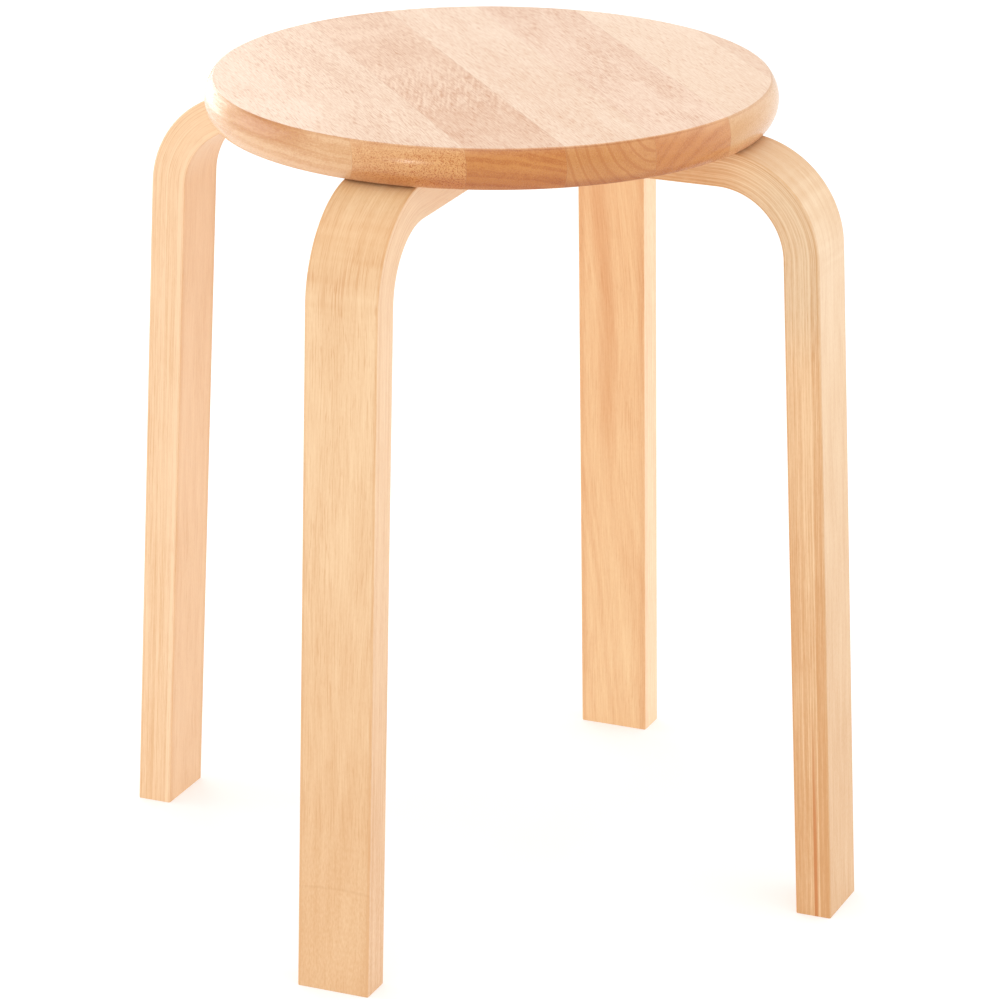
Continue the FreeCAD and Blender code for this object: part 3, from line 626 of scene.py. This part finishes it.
        surface = blend_colour(tree, line, surface, [dark[0] * 0.7, dark[1] * 0.55, dark[2] * 0.4])
    if stain:
        first, last, start, depth = stain
        stained = calc(tree, "MULTIPLY", between(tree, through, (first - 0.3) * ply, (first + 0.2) * ply),
                       between(tree, through, (last + 0.3) * ply, (last - 0.2) * ply))
        stained = calc(tree, "MULTIPLY", stained, between(tree, along, start - 40 * mm, start + 60 * mm))
        stained = calc(tree, "MULTIPLY", stained, calc(tree, "MULTIPLY", on_side, depth))
        surface = blend_colour(tree, stained, surface, [dark[0] * 0.88, dark[1] * 0.62, dark[2] * 0.42])
    surface = tinted(tree, on_side, surface, sides)
    in_bend = calc(tree, "MULTIPLY", between(tree, along, 0.11, 0.15), between(tree, along, 0.25, 0.20))
    surface = tinted(tree, calc(tree, "MULTIPLY", in_bend, on_side), surface, bend_tint)
    surface = tinted(tree, on_outside, surface, outside)
    # Near the seat the outer face takes a tint. On the front leg it is darker, painted shade from the seat
    # above; on the right leg it is a pinker tone.
    upper_face_mask = calc(tree, "MULTIPLY", between(tree, along, top_far, top_near), on_outside)
    surface = tinted(tree, upper_face_mask, surface, upper_face_colour)

    rough = calc(tree, "MULTIPLY_ADD", speckle, 0.16, 0.36)
    rough = calc(tree, "MULTIPLY_ADD", glue, 0.1, rough, clamp=True)
    relief = calc(tree, "MULTIPLY_ADD", hairs, -0.5, calc(tree, "MULTIPLY", speckle, 0.5))
    relief = calc(tree, "MULTIPLY_ADD", glue, -0.7, relief)
    wood_shader(tree, surface, rough, relief, 0.15)
    return material


# Plies are counted from the outer face: each band is its first and last ply, how much darker it is, and how
# far along the leg it begins to show. A stain is its first and last ply, where it begins and how dark it is.
laminates = {
    "front": dict(light=colour(247, 211, 167), dark=colour(224, 175, 125), streak=0.6, flame=0.4,
                  heart=(5, 0.03, 12, 0.05), hairy=(1.05, 0.4, 0.8), lines=1.2, plies=0.10,
                  sides=(0.96, 0.98, 1.06), seat_shade=(0.42, 0.19, 0.14),
                  foot=(0.42, 0.22, 0.9), seed=3, arm=-0.4, scarf=0.497, scarf_slope=0.03,
                  upper_face_tint_and_shade=(0.15, 0.12, 0.91, 0.96, 0.97)),
    "right": dict(light=colour(242, 203, 158), dark=colour(213, 157, 102), streak=0.6, flame=0.25,
                  heart=(-12, 0.0, 20, 0.03), hairy=(0.3, 0.5, 0.6), lines=0.85, plies=0.12,
                  bands=[(0, 3, 0.22, 0.15), (5, 5, 0.55, 0.46), (0, 1, 0.12, 0.45),
                         (3.6, 2.95, -0.5, 0.10), (12.2, 12, 0.35, 0.0)],
                  sides=(1.0, 1.01, 1.02), outside=(1.0, 1.10, 1.23), seat_shade=(0.45, 0.165, 0.115),
                  foot=(0.42, 0.20, 0.0), seed=19, bend_lines=0.9, arm=0.42,
                  upper_face_tint_and_shade=(0.27, 0.19, 1.01, 1.04, 1.10),
                  bend_tint=(0.95, 1.03, 1.13), stain=(4.65, 5.8, 0.46, 0.90)),
    "back": dict(light=colour(247, 209, 160), dark=colour(225, 168, 116), streak=0.5, flame=0.7,
                 heart=(22, 0.10, 5, 0.03), hairy=(0.8, 0.4, 0.65), lines=1.2, plies=0.2,
                 sides=(1.05, 1.14, 1.33), seat_shade=(0.0, 0.19, 0.12),
                 foot=(-0.08, 0.35, 0.0), seed=41, sweep=(17, 1, 0.45)),
    "left": dict(light=colour(245, 208, 168), dark=colour(227, 179, 131), streak=0.6, flame=0.3,
                 heart=(14, 0.04, 16, 0.04), hairy=(0.6, 0.7, 0.8), lines=1.9, plies=0.2,
                 bands=[(11, 12, -0.35, 0.0), (12.25, 11.5, 0.5, 0.0), (3, 5, 0.25, 0.40)],
                 sides=(1.03, 1.05, 1.06), seat_shade=(0.1, 0.19, 0.12),
                 foot=(0.1, 0.30, 0.0), seed=57),
}

bore = turned([(0, arm_top - leg_thickness - 5 * mm), (counterbore_radius, arm_top - leg_thickness - 5 * mm),
               (counterbore_radius, counterbore_top), (bore_radius, counterbore_top),
               (bore_radius, arm_top + 5 * mm), (0, arm_top + 5 * mm)], 48, closed=False)
bores = to_object("bores", repeated(bore, [Matrix.Translation((reach, 0, 0)) for reach in bolt_reaches]))
plain_leg = to_object("plain_leg", bent_leg())
drill(plain_leg, bores)
note_grain(plain_leg.data)
for side, turn in leg_turns.items():
    leg = bpy.data.objects.new(f"bent_leg_{side}", plain_leg.data.copy())
    bpy.context.scene.collection.objects.link(leg)
    leg.data.transform(Matrix.Rotation(math.radians(turn), 4, "Z"))
    shade(leg)
    leg.data.materials.clear()
    leg.data.materials.append(leg_laminate(f"leg_laminate_{side}", **laminates[side]))
    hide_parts(f"leg_{side}")
    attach(leg, "root")
put_away(plain_leg)
put_away(bores)


# The fixings. Threaded steel inserts sit in the seat, and a button-head bolt with a flat washer goes up
# through each bore into one. All are zinc plated, and only the heads and washers show, from below.
def plated_steel(name, tint, grime):
    """Zinc plate: a cloudy grey with a faint yellow cast, fine brushed rings and dull, grimy cloudy patches.
    """
    material = bpy.data.materials.new(name)
    material.use_nodes = True
    tree = material.node_tree
    shader = tree.nodes["Principled BSDF"]
    place = add_node(tree, "ShaderNodeTexCoord").outputs["Object"]
    crystals = add_node(tree, "ShaderNodeTexVoronoi", {"Vector": place, "Scale": 1400.0}).outputs["Color"]
    crystals = add_node(tree, "ShaderNodeSeparateXYZ", {0: crystals}).outputs[0]
    clouds = cloud(tree, stretched(tree, place, (260, 260, 260)), 4, 0.6)
    scratches = cloud(tree, stretched(tree, place, (900, 900, 5200)), 2, 0.5)
    tone = calc(tree, "MULTIPLY_ADD", crystals, 0.35, calc(tree, "MULTIPLY", clouds, 0.65), clamp=True)
    surface = blend_colour(tree, tone, [v * 0.78 for v in tint], tint)
    surface = blend_colour(tree, calc(tree, "MULTIPLY", between(tree, clouds, 0.5, 0.75), grime), surface,
                           (0.42, 0.36, 0.24))
    tree.links.new(surface, shader.inputs["Base Color"])
    shader.inputs["Metallic"].default_value = 1.0
    tree.links.new(calc(tree, "MULTIPLY_ADD", clouds, 0.3, 0.2), shader.inputs["Roughness"])
    bump = add_node(tree, "ShaderNodeBump", {"Height": scratches, "Strength": 0.2, "Distance": 0.05 * mm})
    tree.links.new(bump.outputs["Normal"], shader.inputs["Normal"])
    return material


bolt_steel = plated_steel("bolt_steel", (0.74, 0.74, 0.73), 0.25)
insert_steel = plated_steel("insert_steel", (0.72, 0.68, 0.56), 0.35)
for side in leg_turns:
    for group, steel in (("bolts", bolt_steel), ("washers", bolt_steel), ("inserts", insert_steel)):
        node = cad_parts[f"{group}_{side}"]
        node.data.materials.clear()
        node.data.materials.append(steel)


# The studio. A plain, nearly white floor, a little bright of its own so that it meets the white around it,
# under broad, even white light that is stronger from above and from both sides than from the front.
floor_shape = bmesh.new()
bmesh.ops.create_grid(floor_shape, x_segments=1, y_segments=1, size=8)
floor = to_object("studio_floor", floor_shape)
floor_paint = bpy.data.materials.new("floor_paint")
floor_paint.use_nodes = True
floor_tree = floor_paint.node_tree
floor_shader = floor_tree.nodes["Principled BSDF"]
floor_place = add_node(floor_tree, "ShaderNodeTexCoord").outputs["Object"]
floor_clouds = cloud(floor_tree, stretched(floor_tree, floor_place, (3, 3, 3)), 3)
floor_tree.links.new(blend_colour(floor_tree, floor_clouds, (0.63, 0.63, 0.63), (0.65, 0.65, 0.65)),
                     floor_shader.inputs["Base Color"])
floor_tree.links.new(calc(floor_tree, "MULTIPLY_ADD", floor_clouds, 0.1, 0.75),
                     floor_shader.inputs["Roughness"])
floor_shader.inputs["Emission Color"].default_value = (1.0, 1.0, 1.0, 1)
floor_shader.inputs["Emission Strength"].default_value = 0.41
floor.data.materials.append(floor_paint)

world = bpy.data.worlds.new("studio_world")
bpy.context.scene.world = world
world.use_nodes = True
world.node_tree.nodes["Background"].inputs["Color"].default_value = (1.0, 1.0, 1.0, 1)
world.node_tree.nodes["Background"].inputs["Strength"].default_value = 0.785


def soft_light(name, place, target, size, power):
    lamp = bpy.data.lights.new(name, "AREA")
    lamp.shape = "SQUARE"
    lamp.size = size
    lamp.energy = power
    stand = bpy.data.objects.new(name, lamp)
    stand.location = place
    stand.rotation_mode = "QUATERNION"
    stand.rotation_quaternion = (Vector(target) - Vector(place)).to_track_quat("-Z", "Y")
    bpy.context.scene.collection.objects.link(stand)


soft_light("top_light", (0.2, -0.3, 2.4), (0, 0, 0.2), 1.8, 13.5)
soft_light("right_light", (2.4, 0.6, 1.0), (0, 0, 0.25), 2.4, 16)
soft_light("left_light", (-2.35, -0.4, 0.9), (0, 0, 0.25), 1.2, 11)
soft_light("rim_light", (-2.1, 1.3, 0.55), (0, 0, 0.4), 1.25, 14)
soft_light("back_light", (-1.85, 2.4, 1.15), (0, 0, 0.45), 0.9, 8)
soft_light("front_light", (-0.37, -2.55, 0.77), (0, 0, 0.42), 0.28, 5.5)

bpy.context.scene.view_settings.view_transform = "Standard"
bpy.context.scene.view_settings.look = "None"


# The camera. It stands to the right of the front leg, about two and a half metres off and a metre up, and
# looks down on the stool through a long lens.
camera_turn = math.radians(22.934)
camera_reach = 2.5175
camera_height = 1.1090
pan = math.radians(-0.123)
tilt = math.radians(19.713)
roll = math.radians(0.237)
frame_per_focal = 4.8323
yaw = camera_turn + pan
forward = Vector((-math.sin(yaw) * math.cos(tilt), math.cos(yaw) * math.cos(tilt), -math.sin(tilt)))
level = Vector((math.cos(yaw), math.sin(yaw), 0))
upward = level.cross(forward)
right_side = level * math.cos(roll) + upward * math.sin(roll)
top_side = upward * math.cos(roll) - level * math.sin(roll)
lens = bpy.data.cameras.new("camera")
lens.sensor_width = 36
lens.lens = lens.sensor_width * frame_per_focal
lens.clip_end = 50
camera = bpy.data.objects.new("camera", lens)
camera.matrix_world = Matrix.Translation(
    (math.sin(camera_turn) * camera_reach, -math.cos(camera_turn) * camera_reach, camera_height)
) @ Matrix((right_side, top_side, -forward)).transposed().to_4x4()
bpy.context.scene.collection.objects.link(camera)
bpy.context.scene.camera = camera
